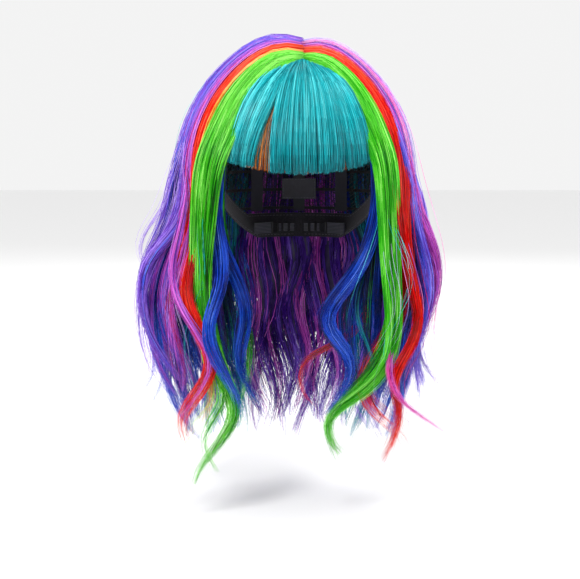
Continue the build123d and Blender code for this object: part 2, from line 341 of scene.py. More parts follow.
def lock(piece, colour, roots, azimuths, layers, way, width, count, thickness=4.0, samples=32, clump=0.5, tip=0.22,
         stray=1.3, radius=0.21, ragged=0.24, tone_shift=0.0, second=None, edges=(), inner_dark=1.2, bevel=0.0,
         core=0.72, taper=0.45, gloss=1.0):
    """Adds one lock of count fibres.

    roots are its ends along the parting, azimuths its ends at the equator in degrees, layers its inner and outer layer
    over the crown, and way its centre line below, where width and thickness are its half sizes. From the share taper of
    the way on it narrows to the share tip. clump draws its fibres into tufts, stray makes them wander, and ragged cuts
    them. second is a colour mixed in and its share, and edges are the colours that blend in at the front and the back.
    inner_dark paints shade on its front edge, and light where it is below zero; bevel sinks that edge over the crown,
    and core is its core's share of the width.
    """
    way = np.array(way, float)
    side = 1 if np.mean(azimuths) >= 0 else -1
    keep = [u for u in CROWN_U if crown_height(np.mean(azimuths), np.mean(layers), u) > way[0, 2] + LEAVES_CROWN]
    n_crown = len(keep)
    s = np.sort(rng.uniform(-1, 1, count))  # each fibre's place across the lock, from front to back
    d = rng.uniform(-1, 1, count)  # and its place through the lock, from the inside out
    round_d = d * np.sqrt(np.maximum(1 - 0.75 * s * s, 0.1))  # thinner at the lock's edges

    def crown(s, d, crossing=0.0):
        """The crown's part of the fibres at these places. crossing moves their roots over the parting."""
        root, azimuth = mix(roots, (s + 1) / 2), np.radians(mix(azimuths, (s + 1) / 2))
        layer = np.mean(layers) + (layers[1] - layers[0]) / 2 * d - bevel * smooth((-s - 0.1) / 0.9)
        root_x = np.full(len(s), PARTING_X + side * ROOT_ASIDE) + crossing
        return crown_points(root_x, root, azimuth, layer, np.array(keep))

    middle = np.concatenate([crown(np.zeros(1), np.zeros(1))[0], way])
    tangent, outward = directions(middle)
    across = np.cross(outward, tangent) * side

    # The half sizes along the way: as wide as the crown section at first, then as asked, then narrower to the tip.
    crown_edge = [crown(np.array([end]), np.zeros(1))[0, -1] for end in (1.0, -1.0)]
    crown_half = np.linalg.norm(crown_edge[0] - crown_edge[1]) / 2
    j = np.arange(len(way)) / (len(way) - 1)
    still_crown = np.maximum(smooth(1 - j * len(way) / JOIN), 0)
    end = 1 - (1 - tip) * smooth((j - taper) / (1 - taper))
    half = (crown_half * still_crown + width * (1 - still_crown)) * end
    deep = thickness * (0.6 + 0.4 * end) * np.where(j > 0.9, tip + 0.3, 1)

    # The fibres of a tuft are drawn together, a little over the crown and more and more down the way.
    groups = max(3, int(count / FIBRES_PER_TUFT))
    group = ((s + 1) / 2 * groups * 0.999).astype(int)
    centre_s = (group + 0.5) / groups * 2 - 1 + rng.normal(0, 0.04, groups)[group]
    centre_d = rng.uniform(-0.8, 0.8, groups)[group]
    pull = clump * smooth((j + 0.15) / 0.8)[None]
    way_s = s[:, None] * (1 - pull) + centre_s[:, None] * pull
    way_d = round_d[:, None] * (1 - pull) + centre_d[:, None] * pull
    hanging = way[None] + across[None, n_crown:] * (half * way_s)[..., None]
    hanging = hanging + outward[None, n_crown:] * (deep * way_d)[..., None]
    over_crown = crown(s + (centre_s - s) * 0.12, d * 0.55 + centre_d * 0.35, rng.normal(0, 0.9, count))
    controls = np.concatenate([over_crown, hanging], axis=1)

    t = even_samples(middle, samples, n_crown)
    points = np.einsum("mc,ncx->nmx", spline_weights(controls.shape[1], t), controls)
    # Each fibre wanders a little, more towards its end, and a few stray much further.
    amount = np.where(rng.random(count) < STRAYS, STRAYS_GO, 1.0) * rng.uniform(0.5, 1.3, count) * stray
    run = np.linspace(0, 1, samples)
    reach = amount[:, None] * (0.12 + 0.88 * run[None] ** 1.6)
    for waves, height in WANDER:
        direction = rng.normal(0, 1, (count, 1, 3)) * np.array([1, 1, 0.35])
        phase = rng.uniform(0, 2 * pi, (count, 1))
        turn = 2 * pi * waves * run[None] * rng.uniform(0.7, 1.3, (count, 1)) + phase
        points += direction * (reach * (np.sin(turn) - np.sin(phase)))[..., None] * height
    share_left = 1 - ragged * rng.random(count) ** 1.5
    points = between(points, run[None] * share_left[:, None] * (samples - 1))

    thin = rng.uniform(0.75, 1.25, (count, 1)) * radius
    profile = 0.85 + 0.15 * np.sin(pi * run) - 0.6 * smooth((run - 0.72) / 0.28)
    tone = MIDDLE_TONE + tone_shift + shades(points, s, group, groups, inner_dark, gloss)
    tone = np.clip(np.round(tone), 0, STEPS - 1).astype(int)
    colours = np.full(count, colour, dtype=object)
    if second is not None:
        colours[rng.random(groups)[group] * 0.7 + rng.random(count) * 0.3 < second[1]] = second[0]
    for edge, where in zip(edges, (-s, s)):
        colours[rng.random(count) < smooth((where - 0.45) / 0.55) * 0.6] = edge
    for each in dict.fromkeys(colours):
        chosen = colours == each
        add_tubes(piece, points[chosen], (thin * profile)[chosen], partial(hair_material, each), tone[chosen])
    if not core:
        return

    # The core is as wide as the lock's roots at the parting, and thins out towards the tip. It has the colour's darkest
    # tone, a painted shade that shows between the fibres.
    line = spline_weights(len(middle), t * 0.86)
    flat = np.concatenate([np.full(n_crown, crown_half * (1 - bevel)), half])
    flat[0] = flat[1] = max(abs(roots[1] - roots[0]) / 2, 1.5)
    flat[2] = (flat[1] + crown_half) / 2
    depth = np.concatenate([np.full(n_crown, 1.0), deep * 0.2])
    sunk = (layers[1] - layers[0]) * 4.0 + 0.6 + 9 * bevel
    inset = np.concatenate([np.full(n_crown, sunk), np.full(len(way), 0.2)])
    out, aside = line @ outward, line @ across
    shrink = 1 - 0.9 * smooth((run - 0.65) / 0.35)
    half_sizes = ((line @ flat) * core * shrink)[None], ((line @ depth) * shrink)[None]
    centre = line @ middle - out * (line @ inset)[:, None]
    add_bundle(piece, centre[None], half_sizes, out[None], aside[None], partial(hair_material, colour), 0, sides=10)


def crown_height(azimuth, layer, u):
    """How high the crown is at u on the way to this azimuth, to know where a lock leaves it."""
    root_y = -10.0
    values = [np.array([value]) for value in (PARTING_X, root_y, radians(azimuth), layer, u)]
    return crown_points(*values)[0, 0, 2]


WAY_START, WAY_STEP = 8.0, 21.0  # the height where a waved way starts, and about the height between its points


def waved_way(azimuth, layer, tip, wave, length, phase, drift):
    """The centre line of a waved lock that hangs at this azimuth in degrees, from the crown down to its tip.

    wave is how far it swings, length the height of one wave, and drift how many degrees it moves sideways in all.
    """
    way = []
    for z in np.linspace(WAY_START, tip, max(6, int((WAY_START - tip) / WAY_STEP))):
        a = radians(azimuth + drift * (WAY_START - z) / (WAY_START - tip))
        swing = wave * smooth((WAY_START - z + 10) / 70)
        turn = 2 * pi * (WAY_START - z) / length + phase
        sideways, outwards = np.array([cos(a), sin(a), 0]), np.array([sin(a), -cos(a), 0])
        point = hang_point(a, layer, z) + sideways * swing * sin(turn)
        way.append(point + outwards * swing * 0.6 * cos(turn * 0.9 + 0.8))
    return way


def random_way(azimuth, layer, tip, wave, length, drift):
    """A waved way with its wave and its wave's length from these ranges, any phase, and up to this drift."""
    return waved_way(azimuth, layer, tip, rng.uniform(*wave), rng.uniform(*length), rng.uniform(0, 2 * pi),
                     rng.uniform(-drift, drift))


# ---------------------------- camera
scene = bpy.context.scene
ELEVATION = radians(6.0)  # it looks down a little
DISTANCE, LENS = 1.3426, 100.0
AIM = Vector((-0.0079, 0.0, -0.075))
camera = bpy.data.objects.new("camera", bpy.data.cameras.new("camera"))
scene.collection.objects.link(camera)
camera.data.lens = LENS
camera.location = AIM + Vector((0, -cos(ELEVATION), sin(ELEVATION))) * DISTANCE
camera.rotation_euler = (pi / 2 - ELEVATION, 0, 0)
scene.camera = camera

# ---------------------------- the fringe
FRINGE_ROOT = (-47.0, -54.0)  # the y of its roots
FRINGE_U = np.array([0.0, 0.1, 0.24, 0.4, 0.56, 0.72, 0.86, 0.96])
FRINGE_EDGE = 40.0  # the azimuth of the fringe's two edges
TUFT_WIDTH = 3.6  # in degrees along the fringe's lower edge
CUT_ARCH, CUT_ARCH_AT = 7.0, 38.0  # the cut is this much higher at this azimuth than in the middle


def fringe_lock(piece, colour, from_azimuth, to_azimuth, growth, count, radius, bottom, flare, samples=17,
                tone_shift=0.0, root_half=11.0):
    """Adds a straight lock of the fringe, growth above the head, cut off at the height bottom.

    It starts between two azimuths, and flare moves its ends to others. root_half is half the width of the whole
    fringe's root.
    """
    s = np.sort(rng.uniform(0, 1, count))
    g = mix(growth, rng.random(count))
    start = mix((from_azimuth, to_azimuth), s)
    spread = flare[1] - flare[0]
    finish = flare[0] + spread * s
    tufts = max(3, int(abs(spread) / TUFT_WIDTH))
    tuft = np.minimum((s * tufts).astype(int), tufts - 1)
    finish += (flare[0] + spread * (tuft + 0.5 + rng.normal(0, 0.12, tufts)[tuft]) / tufts - finish) * 0.14
    cut = rng.normal(0, 0.4, tufts)[tuft] + 0.8 * np.abs((s * tufts) % 1 - 0.5)
    u = FRINGE_U
    azimuth = np.radians(mix((start[:, None], finish[:, None]), smooth((u - 0.35) / 0.65)[None]))
    half = HEAD_HALF + g[:, None, None] * (0.45 + 0.55 * smooth(u / 0.4))[None, :, None]
    root_x = PARTING_X + root_half * (start / FRINGE_EDGE)
    root_y = mix(FRINGE_ROOT, rng.random(count))
    down = over_head(root_x, root_y, azimuth, HEAD_HALF + g[:, None, None], HEAD_CENTRE, half, HEAD_CENTRE, u)
    last = down[:, -1:] + (0, 1.0, 0)
    last[:, 0, 2] = bottom + CUT_ARCH * (finish / CUT_ARCH_AT) ** 2 + rng.normal(0, 0.7, count) + cut
    controls = np.concatenate([down, last], axis=1)
    run = np.linspace(0, 1, samples)
    points = np.einsum("mc,ncx->nmx", spline_weights(controls.shape[1], run), controls)
    for waves in (0.8, 2.1):
        direction = rng.normal(0, 1, (count, 1, 3)) * np.array([1, 0.8, 0.1])
        phase = rng.uniform(0, 2 * pi, (count, 1))
        wander = 0.35 * (0.1 + run[None]) * (np.sin(2 * pi * waves * run[None] + phase) - np.sin(phase))
        points += direction * wander[..., None]
    # A painted highlight is brightest a little above the middle. The roots, the ends and the far side get painted
    # shade.
    groups = max(3, count // 9)
    streak = rng.normal(0, 0.6, groups)[np.minimum((s * groups).astype(int), groups - 1)] + rng.normal(0, 0.8, count)
    middle = (run[1:] + run[:-1])[None] / 2 + rng.normal(0, 0.05, count)[:, None]
    light = 1.5 * np.exp(-(((middle - 0.42) / 0.24) ** 2))
    light = light - 1.4 * smooth((middle - 0.62) / 0.38) - 0.9 * smooth((0.14 - middle) / 0.14)
    tone = 2.8 + tone_shift + streak[:, None] + light - (start / FRINGE_EDGE)[:, None] * 0.6
    tone = np.clip(np.round(tone), 0, STEPS - 1).astype(int)
    radii = rng.uniform(0.8, 1.2, (count, 1)) * radius * (1 - 0.35 * smooth((run - 0.75) / 0.25))[None]
    add_tubes(piece, points, radii, partial(hair_material, colour), tone)


# The turquoise hair parts over the wearer's right eye, where the orange layer under it shows.
GAP_TOP, GAP_ENDS = -16.0, (-25.0, -15.6)
TOP_GROWTH = (7.5, 13.0)
turquoise = partial(fringe_lock, "fringe_hair_strands", "turquoise")
turquoise(-FRINGE_EDGE, GAP_TOP, TOP_GROWTH, 520, 0.24, 26.0, (-FRINGE_EDGE, GAP_ENDS[0]))
turquoise(GAP_TOP, 24, TOP_GROWTH, 860, 0.24, 25.0, (GAP_ENDS[1], 23.0))
turquoise(24, FRINGE_EDGE, TOP_GROWTH, 380, 0.24, 26.0, (24.6, FRINGE_EDGE))
fringe_lock("fringe_hair_strands", "teal", 33, 42, (7.0, 11.5), 120, 0.24, 27.0, (34, 42))
# A few darker strands across the gap, painted shade in the parting.
turquoise(GAP_TOP - 5, GAP_TOP + 4, (6.9, 8.5), 18, 0.2, 25.0, (-27, -13), tone_shift=-2, root_half=5.0)
fringe_lock("fringe_under_strands", "orange", -34, 36, (3.6, 6.4), 520, 0.3, 25.4, (-35.5, 37), samples=14,
            tone_shift=1.2, root_half=3.5)

# ---------------------------- front and sides
# Each crown section: its colour, where it leaves the parting and its azimuths at the equator.
BEHIND = {"teal": ((13, 25), (130, 151)), "purple": ((25, 37), (151, 180))}
CROWN = {
    "right": {"green": ((-50, -44), (36, 53)), "red": ((-44, -26), (53, 65)), "magenta": ((-26, -17), (65, 74)),
              "violet": ((-17, -5), (74, 92)), "blue": ((-5, 13), (92, 130)), **BEHIND},
    "left": {"green": ((-50, -44), (37, 50)), "red": ((-44, -26), (50, 66)), "magenta": ((-26, -16), (66, 77)),
             "violet": ((-16, -5), (77, 93)), "blue": ((-5, 13), (93, 130)), **BEHIND},
}
FULLNESS = 1.32  # how many fibres there are for each one asked for below
FAINT_PAINTED_HIGHLIGHT = 0.1  # how strongly the painted highlight over the crown shows on the magenta and violet hair


def placed(side, section, a, b, colour, layers, way, width, count, piece=None, **more):
    """Adds a lock that leaves a crown section from share a of it to share b."""
    roots, azimuths = [[mix(ends, f) for f in (a, b)] for ends in CROWN[side][section]]
    azimuths = [SIDES[side] * azimuth for azimuth in azimuths]
    lock(piece or f"{section}_hair_{side}", colour, roots, azimuths, layers, way, width, int(count * FULLNESS), **more)


right, left = partial(placed, "right"), partial(placed, "left")
right_side, left_side = partial(right, gloss=FAINT_PAINTED_HIGHLIGHT), partial(left, gloss=FAINT_PAINTED_HIGHLIGHT)
right_cheek, left_cheek = partial(right, piece="cheek_hair_right"), partial(left, piece="cheek_hair_left")

# The wearer's right side, which is the left of a front view.
right("green", 0, 1, "green", (0.72, 1.0), [(-71, -83, 35), (-75, -79, 3), (-77, -75, -28), (-79, -73, -60),
    (-76, -72, -94), (-63, -74, -132), (-51, -77, -157), (-53, -78, -174), (-67, -76, -193), (-82, -72, -212),
    (-85, -71, -224)], 12, 250, stray=0.9, tip=0.2, taper=0.12, samples=40, ragged=0.4, inner_dark=2.4, bevel=0.4,
    second=("lime", 0.2))
right("green", 0.4, 1, "green", (0.5, 0.75), [(-72, -78, 20), (-76, -70, -20), (-80, -62, -60), (-76, -64, -105),
    (-63, -71, -140), (-58, -75, -156), (-69, -76, -170), (-78, -76, -184), (-76, -75, -198),
    (-66, -74, -214)], 7, 80, tip=0.3, taper=0.15, ragged=0.35, second=("lime", 0.3))
right("green", 0.5, 1, "lime", (0.3, 0.6), [(-72, -66, 10), (-76, -60, -40), (-78, -60, -90), (-74, -66, -130),
    (-66, -72, -152), (-76, -76, -166), (-90, -77, -180), (-96, -76, -190)], 4, 36, tip=0.8, clump=0.2,
    second=("ember", 0.5), core=0, stray=2.0)
right("red", 0, 0.16, "ember", (0.9, 1.0), [(-80, -72, 20), (-79, -66, -20), (-82, -62, -60), (-76, -66, -110),
    (-68, -71, -150), (-76, -72, -176)], 2.2, 40, stray=0.8)
right("red", 0.05, 1, "red", (0.68, 0.97), [(-79, -66, 12), (-80, -62, -22), (-87, -65, -45), (-91, -68, -62),
    (-90, -70, -78), (-83, -72, -95), (-72, -75, -113), (-68, -77, -129), (-78, -79, -147), (-91, -80, -161),
    (-95, -79, -174), (-89, -78, -190)], 8, 170, stray=1.2, edges=("red", "pink"), tip=0.75, clump=0.4, ragged=0.28)
right_side("magenta", 0, 0.3, "magenta", (0.85, 1.05), [(-88, -58, 6), (-96, -62, -27), (-102, -66, -49),
    (-100, -71, -70), (-92, -76, -86), (-80, -81, -103), (-71, -84, -118), (-70, -85, -130), (-77, -85, -145),
    (-88, -83, -159), (-95, -81, -170)], 1.5, 30, stray=0.8, tip=0.35, second=("violet", 0.45))
right_side("magenta", 0.1, 1, "magenta", (0.7, 1.05), [(-87, -57, 8), (-92, -58, -16), (-98, -59, -38),
    (-106, -56, -62), (-108, -53, -86), (-100, -52, -112), (-92, -54, -134), (-94, -56, -152)], 9, 150,
    second=("violet", 0.55), edges=("red", "violet"), stray=1.4)
right_side("violet", 0, 0.4, "violet", (0.75, 1.1), [(-90, -46, 14), (-91, -52, -8), (-103, -57, -25),
    (-119, -57, -40), (-127, -55, -58), (-128, -52, -84), (-121, -52, -108), (-108, -54, -128),
    (-96, -56, -143)], 5, 90, second=("blue", 0.4))
right_side("violet", 0.3, 0.7, "violet", (0.8, 1.15), [(-94, -36, 12), (-96, -42, -10), (-106, -46, -28),
    (-116, -48, -46), (-121, -46, -68), (-122, -44, -92), (-119, -45, -115), (-112, -48, -137),
    (-99, -52, -155)], 8, 100, second=("magenta", 0.35), stray=1.5)
right_side("violet", 0.5, 1, "violet", (0.85, 1.25), [(-102, -28, 20), (-106, -26, 0), (-111, -24, -20),
    (-121, -22, -38), (-128, -22, -55), (-129, -20, -76), (-125, -20, -100), (-117, -22, -124),
    (-112, -24, -144)], 8, 90, second=("periwinkle", 0.5), edges=("violet", "lavender"), stray=1.5)
# An inner blue lock, set darker as painted shade.
right_side("violet", 0.2, 0.8, "blue", (0.4, 0.7), [(-92, -38, 4), (-97, -40, -24), (-107, -42, -50),
    (-114, -44, -76), (-110, -46, -102), (-98, -48, -126), (-88, -50, -148)], 12, 96, samples=27,
    second=("violet", 0.5), tone_shift=-0.6)
right_side("violet", 0, 0.5, "purple", (0.3, 0.6), [(-86, -48, 0), (-92, -49, -28), (-103, -50, -50),
    (-110, -50, -72), (-104, -50, -100), (-92, -52, -126), (-84, -54, -148)], 8, 64, samples=27,
    second=("magenta", 0.35))

# The wearer's left side, which is the right of a front view.
left("green", 0, 1, "green", (0.6, 0.88), [(67, -83, 35), (69, -79, 3), (70, -75, -28), (72, -72, -60),
    (75, -67, -92), (74, -65, -114), (68, -67, -130), (54, -72, -145), (38, -76, -156), (24, -77, -165),
    (20, -76, -177), (25, -74, -191), (33, -71, -199)], 10.5, 250, stray=0.9, tip=0.25, taper=0.08, samples=40,
    ragged=0.34, inner_dark=-0.9, tone_shift=-0.5, bevel=0.4, clump=0.6)
left("green", 0.4, 1, "green", (0.4, 0.6), [(70, -76, 20), (71, -68, -20), (75, -62, -60), (74, -60, -98),
    (66, -64, -122), (55, -70, -139), (38, -75, -153), (26, -77, -164), (21, -77, -176), (24, -75, -190),
    (30, -72, -204)], 7, 80, second=("lime", 0.3))
left("red", 0, 1, "red", (0.55, 0.85), [(79, -69, 24), (80, -68, -1), (82, -66, -27), (86, -64, -51),
    (92, -62, -74), (96, -62, -95), (89, -64, -114), (80, -67, -127), (73, -70, -140), (76, -72, -154),
    (81, -72, -168), (75, -72, -186), (64, -70, -208)], 5.2, 190, tone_shift=-0.9, gloss=1.7, stray=1.1, tip=0.6,
    ragged=0.4, edges=("red", "pink"))
# An inner red lock, set darker as painted shade.
left("red", 0.3, 0.9, "red", (0.3, 0.55), [(76, -60, 0), (80, -56, -40), (84, -54, -80), (70, -58, -110),
    (52, -64, -130), (48, -68, -150), (60, -72, -166), (78, -74, -178), (84, -74, -190)], 8, 90, tip=1.0, clump=0.25,
    tone_shift=-1.4, ragged=0.3, stray=1.8)
left_side("magenta", 0, 0.4, "violet", (0.56, 0.74), [(82, -57, 38), (87, -60, 10), (91, -59, -15), (98, -56, -37),
    (104, -52, -58), (103, -49, -82), (96, -49, -104), (90, -50, -122), (94, -50, -141), (97, -50, -158)], 6, 110,
    second=("periwinkle", 0.5), edges=("blue", "violet"), stray=1.2)
left_side("magenta", 0.06, 1, "magenta", (0.64, 0.86), [(86, -44, 18), (92, -42, -2), (101, -40, -21),
    (109, -36, -40), (113, -33, -58), (111, -30, -78), (104, -30, -95), (99, -32, -112)], 7, 130,
    second=("violet", 0.3), edges=("magenta", "violet"), tone_shift=-0.8)
left_side("magenta", 0.2, 0.8, "violet", (0.45, 0.7), [(88, -48, 10), (92, -48, -20), (99, -46, -44), (103, -45, -66),
    (100, -44, -90), (93, -46, -112), (94, -48, -134), (101, -50, -150)], 8, 100, second=("periwinkle", 0.4))
left_side("magenta", 0, 0.3, "magenta", (0.3, 0.5), [(78, -50, -10), (80, -50, -50), (80, -52, -84),
    (77, -56, -104), (72, -64, -119), (70, -73, -134), (74, -79, -148), (84, -79, -159), (98, -78, -169),
    (114, -76, -180)], 3.2, 60, second=("pink", 0.4), tip=0.12)
left_side("violet", -0.15, 1, "violet", (0.66, 0.92), [(94, -34, 8), (98, -36, -24), (102, -36, -54),
    (99, -36, -82), (92, -36, -108), (94, -38, -130), (102, -38, -148)], 10, 150, second=("periwinkle", 0.4),
    edges=("violet", "blue"), stray=1.5)
left_side("violet", 0.1, 1.05, "violet", (0.5, 0.8), [(96, -24, 8), (102, -24, -30), (106, -26, -62), (101, -28, -92),
    (94, -30, -112), (98, -31, -128), (106, -32, -140), (114, -34, -150)], 6, 90, second=("blue", 0.3), tip=0.5,
    stray=1.5)

# The locks inside the green ones, beside the cheeks. Several are set darker, a painted shade for the inside of the
# hair.
right_cheek("red", 0, 0.6, "blue", (0.1, 0.3), [(-69, -62, -6), (-62, -70, -40), (-60, -78, -61), (-68, -83, -80),
    (-73, -86, -98), (-69, -86, -115), (-60, -86, -131), (-52, -84, -145), (-47, -81, -156),
    (-48, -79, -168)], 5, 110, stray=1.0, second=("navy", 0.3))
right_cheek("green", 0.7, 1, "navy", (0.1, 0.3), [(-68, -54, -12), (-62, -57, -34), (-53, -60, -55),
    (-44, -63, -75), (-42, -65, -94), (-48, -67, -113), (-49, -68, -129), (-44, -69, -142), (-36, -69, -155)], 6, 120,
    stray=1.0, second=("blue", 0.4))
right_cheek("green", 0.6, 1, "green", (0.05, 0.2), [(-66, -46, -10), (-57, -47, -50), (-45, -50, -84),
    (-39, -54, -112), (-41, -60, -138), (-48, -62, -162)], 4, 50, tone_shift=-1)
right_cheek("red", 0.2, 0.9, "navy", (0.05, 0.2), [(-66, -50, -10), (-66, -50, -45), (-59, -52, -80),
    (-53, -54, -110), (-54, -56, -140)], 12, 110, tone_shift=-1.5, second=("green", 0.25))
right_cheek("red", 0.5, 1, "purple", (0.05, 0.2), [(-70, -56, -10), (-71, -58, -45), (-68, -60, -80),
    (-62, -62, -112), (-60, -64, -138)], 9, 70, tone_shift=-1.5, second=("navy", 0.5))
left_cheek("green", 0.7, 1.2, "blue", (0.1, 0.3), [(61, -62, -6), (55, -66, -34), (44, -73, -55), (29, -79, -72),
    (19, -82, -86), (22, -82, -100), (34, -81, -112), (41, -81, -125), (39, -81, -139), (29, -80, -153),
    (20, -79, -166)], 6, 140, stray=1.0, second=("navy", 0.35))
left_cheek("green", 0.6, 1.1, "teal", (0.05, 0.25), [(63, -54, -10), (55, -54, -44), (45, -57, -74), (45, -60, -94),
    (53, -64, -110), (59, -66, -125), (56, -68, -141), (42, -71, -156)], 4, 50, second=("navy", 0.5))
left_cheek("green", 0.6, 1, "navy", (0.05, 0.2), [(62, -50, -10), (54, -54, -44), (40, -58, -72), (36, -60, -98),
    (42, -64, -124), (46, -68, -148)], 9, 100, tone_shift=-0.6, second=("blue", 0.35))
left_cheek("red", 0, 0.6, "navy", (0.05, 0.2), [(62, -56, -10), (60, -58, -44), (56, -60, -80), (58, -60, -106),
    (54, -66, -134), (50, -70, -152)], 9, 90, tone_shift=-1.3, second=("green", 0.25))
left_cheek("red", 0.2, 0.7, "red", (0.02, 0.1), [(68, -48, -20), (65, -48, -60), (58, -49, -84), (42, -52, -106),
    (24, -56, -115), (8, -59, -121), (0, -61, -131), (-1, -62, -144), (5, -62, -157), (11, -62, -163)], 2.5, 45,
    stray=1.2, second=("purple", 0.15), tone_shift=-0.6)
left_cheek("red", 0.2, 0.8, "violet", (0.05, 0.2), [(64, -46, -10), (66, -46, -50), (60, -50, -90), (52, -60, -126),
    (42, -67, -147), (42, -70, -159), (48, -70, -169), (58, -70, -180)], 3.5, 50, tip=0.35, second=("navy", 0.3))
left_cheek("red", 0.2, 0.9, "purple", (0.05, 0.2), [(66, -44, -10), (70, -44, -50), (70, -48, -90), (60, -58, -128),
    (54, -66, -154), (58, -67, -172), (66, -64, -188)], 4, 60, tip=0.35, second=("violet", 0.4))

# Loose single curls and wisps that stand away from the rest: side, section, colour, how many fibres and their way.
WISPS = [
    ("right", "violet", "lavender", 16, [(-104, -26, 20), (-111, -22, -6), (-124, -20, -22), (-132, -18, -36),
     (-130, -18, -52), (-118, -20, -66), (-112, -24, -84), (-116, -30, -104)]),
    ("right", "violet", "lavender", 20, [(-100, -30, 14), (-108, -28, -15), (-124, -26, -44), (-135, -24, -74),
     (-135, -22, -104), (-127, -24, -130), (-122, -28, -146), (-132, -32, -158)]),
    ("right", "violet", "periwinkle", 50, [(-96, -34, 8), (-108, -34, -30), (-119, -34, -70), (-122, -32, -104),
     (-117, -32, -130), (-120, -34, -148), (-131, -36, -160)]),
    ("right", "violet", "blue", 50, [(-92, -38, 8), (-106, -38, -30), (-116, -38, -70), (-117, -36, -104),
     (-110, -36, -132), (-112, -38, -152), (-123, -40, -170)]),
    ("right", "magenta", "violet", 22, [(-92, -44, 4), (-104, -50, -24), (-120, -54, -52), (-129, -56, -84),
     (-127, -56, -112), (-119, -58, -134), (-108, -60, -148), (-97, -60, -156)]),
    ("right", "magenta", "magenta", 14, [(-88, -56, 4), (-90, -64, -30), (-97, -68, -58), (-103, -66, -86),
     (-101, -64, -116), (-96, -64, -142), (-88, -66, -160)]),
    ("left", "magenta", "pink", 14, [(90, -42, 14), (101, -40, -20), (111, -34, -46), (114, -30, -68),
     (109, -28, -92), (107, -30, -116), (112, -34, -136), (120, -38, -146)]),
    ("left", "violet", "lavender", 14, [(94, -30, 10), (103, -28, -24), (111, -24, -50), (109, -22, -80),
     (104, -24, -108), (108, -28, -132), (118, -32, -144)]),
]
for side, section, colour, count, way in WISPS:
    placed(side, section, 0.1, 0.9, colour, (0.8, 1.1), way, 2.4, count, tip=1.4, clump=0.15, thickness=3.0, core=0,
           stray=1.6, radius=0.16, tone_shift=0.6, gloss=FAINT_PAINTED_HIGHLIGHT)
left_cheek("green", 0.2, 0.8, "turquoise", (0.6, 0.8), [(66, -80, 10), (58, -82, -30), (44, -85, -60), (36, -87, -84),
    (35, -87, -108), (42, -86, -124), (54, -84, -136), (64, -82, -144)], 1.2, 1.5, tip=1.6, clump=0.0, core=0,
    radius=0.15, stray=1.2, tone_shift=2)

# Single hairs that have worked loose all over the front and sides.
for side, sign in SIDES.items():
    for i in range(12):
        azimuth = rng.uniform(44, 104)
        way = random_way(sign * azimuth, rng.uniform(0.7, 0.95), rng.uniform(-185, -120), (8, 15), (80, 120), 10)
        colour = ("violet", "blue", "turquoise", "magenta", "lavender", "navy")[i % 6]
        placed(side, "magenta" if azimuth < 72 else "violet", 0, 1, colour, (0.75, 1.0), way, 7, 4, tip=1.3, clump=0.0,
               thickness=5.0, core=0, radius=0.12, stray=3.0, tone_shift=0.5)

# ---------------------------- sides and back
# The hair behind each ear and round the back: section and colour, colour mixed in, tip and how many locks.
BACK = [("blue", "violet", -206, 8), ("teal", "blue", -214, 5), ("purple", "magenta", -218, 7)]
# The colours that each one blends into at its front and its back.
NEIGHBOURS = {"blue": ("violet", "teal"), "teal": ("blue", "purple"), "purple": ("teal", "purple")}
for side, sign in SIDES.items():
    for colour, other, tip, number in BACK:
        azimuths = CROWN[side][colour][1]
        before, after = NEIGHBOURS[colour]
        for i in range(number):
            azimuth = sign * mix(azimuths, (i + 0.5) / number)
            way = random_way(azimuth, 0.88, tip + rng.uniform(-8, 14), (7, 11), (100, 130), 5)
            a, b = max(i / number - 0.05, -0.03), min((i + 1) / number + 0.05, 1.03)
            edges = (before if i == 0 else colour, after if i == number - 1 else colour)
            placed(side, colour, a, b, colour, (0.6, 0.95), way, 9.5, 66, samples=27, second=(other, 0.25),
                   edges=edges, stray=1.4, radius=0.24, core=0.6, ragged=0.18)
        # Inner locks under them, set darker as painted shade.
        inner = max(3, number - 2)
        for i in range(inner):
            f = (i + rng.uniform(0.3, 0.7)) / inner
            way = random_way(sign * mix(azimuths, f), 0.45, tip + rng.uniform(0, 26), (6, 10), (95, 125), 6)
            placed(side, colour, max(f - 0.2, 0), min(f + 0.2, 1), colour, (0.25, 0.55), way, 13, 46, samples=22,
                   second=(other, 0.35), tone_shift=-0.6, stray=1.8, radius=0.33, core=0.5, ragged=0.14)

# Under layers that fill the sides behind the face-framing locks, set darker as painted shade: azimuth, colour and
# colour mixed in.
UNDER = [(66, "purple", "navy"), (76, "blue", "violet"), (86, "violet", "blue"), (97, "blue", "violet"),
         (106, "navy", "blue")]
OUTER = [(79, "magenta"), (88, "periwinkle"), (97, "blue")]  # violet locks over them: azimuth and colour mixed in
for side, sign in SIDES.items():
    for i, (azimuth, colour, other) in enumerate(UNDER):
        way = waved_way(sign * azimuth, 0.3, -140 - 12 * i, wave=7, length=110, phase=1.3 * i + sign, drift=4)
        placed(side, "violet", 0.15 * i, 0.15 * i + 0.5, colour, (0.15, 0.4), way, 13, 36, samples=24,
               second=(other, 0.4), tone_shift=-1.2, stray=1.8, radius=0.28,
               piece=f"blue_hair_{side}" if i > 2 else None)
    for i, (azimuth, other) in enumerate(OUTER):
        way = waved_way(sign * azimuth, 0.8, -152 - 10 * i, wave=8, length=112, phase=2.1 * i - sign, drift=3)
        placed(side, "violet", 0.3 + 0.2 * i, 0.75 + 0.2 * i, "violet", (0.6, 0.95), way, 10, 46, samples=26,
               second=(other, 0.4), stray=1.5, gloss=0.3)

# ---------------------------- pieces onto the frame
for name in list(pieces):
    piece = piece_mesh(name)
    section, _, side = name.partition("_hair_")
    if side in SIDES:
        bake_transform(piece)
        cheek = section == "cheek"
        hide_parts(*([] if cheek else [f"{section}_crown_{side}"]), f"{section}_lock_{side}")
    else:
        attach(piece, "fringe")
        under = "under" in name
        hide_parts("fringe_under_hair" if under else "fringe_hair")

# ---------------------------- the cap
FUZZ = 0.5  # how strong a ribbed cloth's noise is beside its ribs


